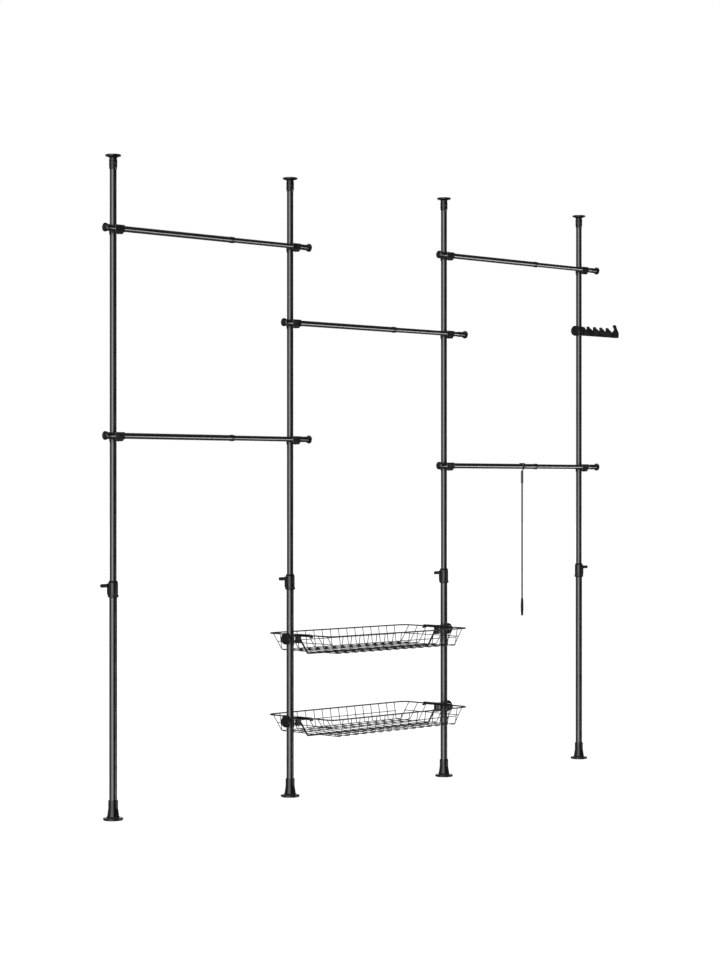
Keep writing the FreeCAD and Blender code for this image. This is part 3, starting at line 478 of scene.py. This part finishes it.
def endShape(group, given, out, instances):
    whole = shape(group, "GeometryNodeRealizeInstances", {0: instances})
    whole = shape(group, "GeometryNodeSetShadeSmooth", {0: whole, "Shade Smooth": True})
    whole = shape(group, "GeometryNodeSetMaterial", {0: whole, "Material": given["Material"]})
    feed(group, out, {0: whole})
    return group


def makePiece(name, body, slot, group, settings, seats):
    mesh = bpy.data.meshes.new(name)
    mesh.from_pydata([place for place, _ in seats], [], [])
    facing = mesh.attributes.new("facing", "FLOAT_VECTOR", "POINT")
    for item, (_, direction) in zip(facing.data, seats):
        item.vector = direction
    piece = bpy.data.objects.new(name, mesh)
    scene.collection.objects.link(piece)
    modifier = piece.modifiers.new("shape", "NODES")
    modifier.node_group = group
    chosen = {**settings, "Material": finishes[slot]}
    for item in group.interface.items_tree:
        if item.in_out == "INPUT" and item.name in chosen:
            modifier[item.identifier] = chosen[item.name]
    depsgraph = bpy.context.evaluated_depsgraph_get()
    shaped = bpy.data.meshes.new_from_object(piece.evaluated_get(depsgraph), depsgraph=depsgraph)
    piece.modifiers.clear()
    piece.data = shaped
    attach(piece, body)
    return len(shaped.polygons)


islands = {"mergeWithin": 0.001 * mm, "sortDigits": 4}


def solidBoxes(name):                    # the box of each separate solid, sorted by its low corner
    shell = bmesh.new()
    shell.from_mesh(nodes[name].data)
    shell.transform(nodes[name].matrix_world)
    bmesh.ops.remove_doubles(shell, verts=shell.verts, dist=islands["mergeWithin"])
    left, boxes = set(shell.verts), []
    while left:
        front, island = [left.pop()], []
        while front:
            vertex = front.pop()
            island.append(vertex.co.copy())
            near = {edge.other_vert(vertex) for edge in vertex.link_edges} & left
            left -= near
            front += near
        low, high = (Vector(map(pick, zip(*island))) for pick in (min, max))
        boxes.append((low, high))
    shell.free()
    return sorted(boxes, key=lambda box: [round(value, islands["sortDigits"]) for value in box[0]])


def middle(box):
    return (box[0] + box[1]) / 2


def seatOn(name, start, aim):            # where a ray meets a node, and which way its surface faces
    node = nodes[name]
    inward = node.matrix_world.inverted()
    found, place, normal, _ = node.ray_cast(inward @ Vector(start), inward.to_3x3() @ Vector(aim))
    assert found, name
    return node.matrix_world @ place, (node.matrix_world.to_3x3() @ normal).normalized()


# Screws that close the rail brackets: one behind the pole, one under the rail
screws = {
    "Head Radius": 3.4 * mm, "Head Height": 1.7 * mm, "Slot Width": 0.9 * mm,
    "Slot Length": 4.2 * mm, "Slot Depth": 1.0 * mm, "Seed": 7,
    "segments": 20, "rings": 10, "backRise": 23 * mm, "approach": 20 * mm,
}


def buildScrew(look):
    group, given, out = newShape("crossScrew", look)
    radius, height = given["Head Radius"], given["Head Height"]
    width, length = given["Slot Width"], given["Slot Length"]
    ball = shape(group, "GeometryNodeMeshUVSphere", {
        "Segments": look["segments"], "Rings": look["rings"], "Radius": radius,
    })
    flat = xyz(group, 1.0, 1.0, calc(group, "DIVIDE", height, radius))
    head = shape(group, "GeometryNodeTransform", {"Geometry": ball, "Scale": flat})
    top = xyz(group, 0.0, 0.0, height)
    deep = product(group, given["Slot Depth"], 2.0)      # half of the cutter stands above the head
    for across, along in ((width, length), (length, width)):
        slot = shape(group, "GeometryNodeMeshCube", {"Size": xyz(group, across, along, deep)})
        slot = shape(group, "GeometryNodeTransform", {"Geometry": slot, "Translation": top})
        head = shape(
            group, "GeometryNodeMeshBoolean", {0: head, 1: slot},
            operation="DIFFERENCE", solver="EXACT")
    angle = randomValue(group, 0.0, math.tau, given["Seed"])
    spin = shape(group, "FunctionNodeAxisAngleToRotation", {"Axis": (0, 0, 1), "Angle": angle})
    turn = shape(
        group, "FunctionNodeRotateRotation", {0: aimed(group), 1: spin}, rotation_space="LOCAL")
    heads = shape(group, "GeometryNodeInstanceOnPoints", {
        "Points": given["Geometry"], "Instance": head, "Rotation": turn,
    })
    return endShape(group, given, out, heads)


def placeScrews(look):
    tree, faces = buildScrew(look), 0
    railLow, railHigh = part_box("middle_rail_outer_tube")
    railY = (railLow[1] + railHigh[1]) / 2
    for name in ("left_rail_brackets", "centre_rail_brackets", "right_rail_brackets"):
        seats = []
        for low, high in solidBoxes(name):
            poleX = (low.x + high.x) / 2
            behind = (poleX, high.y + look["approach"], low.z + look["backRise"])
            under = (poleX, railY, low.z - look["approach"])
            seats += [seatOn(name, behind, (0, -1, 0)), seatOn(name, under, (0, 0, 1))]
        faces += makePiece(name + "_screws", bodyOf[name], "grip_plastic", tree, look, seats)
    print("bracket screws:", faces, "faces")


placeScrews(screws)


# Weld beads where the basket wires cross and meet the rim
beads = {
    "Radius": 2.1 * mm, "Flatness": 0.75, "Variation": 0.18, "Seed": 11, "subdivisions": 1,
}


def buildBead(look):
    group, given, out = newShape("weldBead", look)
    drop = shape(group, "GeometryNodeMeshIcoSphere", {
        "Radius": given["Radius"], "Subdivisions": look["subdivisions"],
    })
    flat = xyz(group, 1.0, 1.0, given["Flatness"])
    drop = shape(group, "GeometryNodeTransform", {"Geometry": drop, "Scale": flat})
    least = calc(group, "SUBTRACT", 1.0, given["Variation"])
    most = calc(group, "ADD", 1.0, given["Variation"])
    grow = randomValue(group, least, most, given["Seed"])
    drops = shape(group, "GeometryNodeInstanceOnPoints", {
        "Points": given["Geometry"], "Instance": drop, "Rotation": aimed(group), "Scale": grow,
    })
    return endShape(group, given, out, drops)


def crossings(basket):                   # each as its place and the way from one wire to the other
    crosses = solidBoxes(basket + "_cross_wires")
    longs = sorted(solidBoxes(basket + "_long_wires"), key=lambda box: box[0].y)
    straights = solidBoxes(basket + "_rim")
    support = max(longs, key=lambda box: box[1].y - box[0].y)
    rim = max(straights, key=lambda box: box[1].y - box[0].y + box[1].x - box[0].x)
    rimWire, rimLevel = rim[1].z - rim[0].z, middle(rim).z
    ends = ((rim[0], -1), (rim[1], 1))
    columns = [middle(box).x for box in crosses]
    rows = [middle(box).y for box in longs if box is not support]
    low, high = crosses[0]
    under, over = low.z, low.z + (high.x - low.x)
    seats = []
    for box in longs:
        row, level = middle(box).y, under if box is support else over
        seats += [((column, row, level), (0, 0, 1)) for column in columns]
        if box is not support:
            seats += [
                ((corner.x - side * rimWire, row, rimLevel), (side, 0, 0)) for corner, side in ends
            ]
    for corner, side in ends:
        inside = corner.y - side * rimWire
        seats += [((column, inside, rimLevel), (0, side, 0)) for column in columns]
    for low, high in straights:
        level = middle((low, high)).z
        if level >= rimLevel - rimWire:
            continue
        if high.x - low.x > high.y - low.y:
            outside, side = (high.y, 1) if high.y > 0 else (low.y, -1)
            seats += [((column, outside, level), (0, side, 0)) for column in columns]
        else:
            outside, side = (high.x, 1) if high.x > middle(rim).x else (low.x, -1)
            seats += [((outside, row, level), (side, 0, 0)) for row in rows]
    return seats


def placeBeads(look):
    tree = buildBead(look)
    for basket in ("upper_basket", "lower_basket"):
        seats = crossings(basket)
        faces = makePiece(basket + "_beads", basket, "basket_wire", tree, look, seats)
        print(basket, "beads:", len(seats), "of", faces, "faces")


placeBeads(beads)


# Grip ribs round the knobs and the jack sleeves
ribs = {
    "sides": 8,
    "knob": {
        "Count": 40, "Width": 1.5 * mm, "Proud": 0.35 * mm, "Length": 7.0 * mm, "disc": 14 * mm,
    },
    "sleeve": {
        "Count": 44, "Width": 1.2 * mm, "Proud": 0.25 * mm, "Length": 26 * mm, "taper": 6 * mm,
    },
}
knobPoles = {
    "upper_basket_left_knob": "pole_2_lower_tube", "upper_basket_right_knob": "pole_3_lower_tube",
    "lower_basket_left_knob": "pole_2_lower_tube", "lower_basket_right_knob": "pole_3_lower_tube",
    "hook_rack_knob": "pole_4_upper_tube",
}


def buildRibs(looks):                    # the radius is read from each piece's own node
    group, given, out = newShape("gripRibs", {**looks["knob"], "Radius": 0.0})
    half = product(group, given["Width"], 0.5)
    bar = shape(group, "GeometryNodeMeshCylinder", {
        "Vertices": looks["sides"], "Radius": half, "Depth": given["Length"],
    })
    reach = calc(group, "ADD", calc(group, "SUBTRACT", given["Radius"], half), given["Proud"])
    circle = shape(group, "GeometryNodeMeshCircle", {"Vertices": given["Count"], "Radius": reach})
    ring = shape(group, "GeometryNodeInstanceOnPoints", {"Points": circle, "Instance": bar})
    ring = shape(group, "GeometryNodeRealizeInstances", {0: ring})
    rings = shape(group, "GeometryNodeInstanceOnPoints", {
        "Points": given["Geometry"], "Instance": ring, "Rotation": aimed(group),
    })
    return endShape(group, given, out, rings)


def placeRibs(looks):
    tree, faces = buildRibs(looks), 0
    look = looks["knob"]
    for name, pole in knobPoles.items():
        (low, high), (poleLow, poleHigh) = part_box(name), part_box(pole)
        outward = 1 if low[0] + high[0] > poleLow[0] + poleHigh[0] else -1
        disc = (high if outward > 0 else low)[0] - outward * look["disc"] / 2
        seat = ((disc, (low[1] + high[1]) / 2, (low[2] + high[2]) / 2), (1, 0, 0))
        grip = {**look, "Radius": (high[2] - low[2]) / 2}
        faces += makePiece(name + "_ribs", bodyOf[name], "grip_plastic", tree, grip, [seat])
    look = looks["sleeve"]
    for number in poleNumbers:
        name = f"pole_{number}_jack_sleeve"
        low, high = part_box(name)
        level = (low[2] + look["taper"] + high[2]) / 2
        seat = (((low[0] + high[0]) / 2, (low[1] + high[1]) / 2, level), (0, 0, 1))
        grip = {**look, "Radius": (high[0] - low[0]) / 2}
        faces += makePiece(name + "_ribs", bodyOf[name], "moulded_plastic", tree, grip, [seat])
    print("grip ribs:", faces, "faces")


placeRibs(ribs)


# Thread on the stems of the ceiling caps, which a raised cap shows
thread = {
    "Pitch": 3 * mm, "Ridge": 0.35 * mm, "Crest": 7.2 * mm, "Length": 76 * mm, "Steps": 20,
    "sides": 4, "start": 1.5 * mm,
}


def buildThread(look):
    group, given, out = newShape("stemThread", look)
    length, ridge = given["Length"], given["Ridge"]
    reach = calc(group, "SUBTRACT", given["Crest"], ridge)
    spiral = shape(group, "GeometryNodeCurveSpiral", {
        "Resolution": given["Steps"], "Rotations": calc(group, "DIVIDE", length, given["Pitch"]),
        "Start Radius": reach, "End Radius": reach, "Height": length,
    })
    profile = shape(group, "GeometryNodeCurvePrimitiveCircle", {
        "Resolution": look["sides"], "Radius": ridge,
    })
    coil = shape(group, "GeometryNodeCurveToMesh", {
        "Curve": spiral, "Profile Curve": profile, "Fill Caps": True,
    })
    coils = shape(group, "GeometryNodeInstanceOnPoints", {
        "Points": given["Geometry"], "Instance": coil,
    })
    return endShape(group, given, out, coils)


def placeThreads(look):
    tree, faces = buildThread(look), 0
    for number in poleNumbers:
        name = f"pole_{number}_ceiling_cap"
        low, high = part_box(name)
        foot = ((low[0] + high[0]) / 2, (low[1] + high[1]) / 2, low[2] + look["start"])
        seats = [(foot, (0, 0, 1))]
        faces += makePiece(name + "_thread", bodyOf[name], "pad_plastic", tree, look, seats)
    print("stem threads:", faces, "faces")


placeThreads(thread)
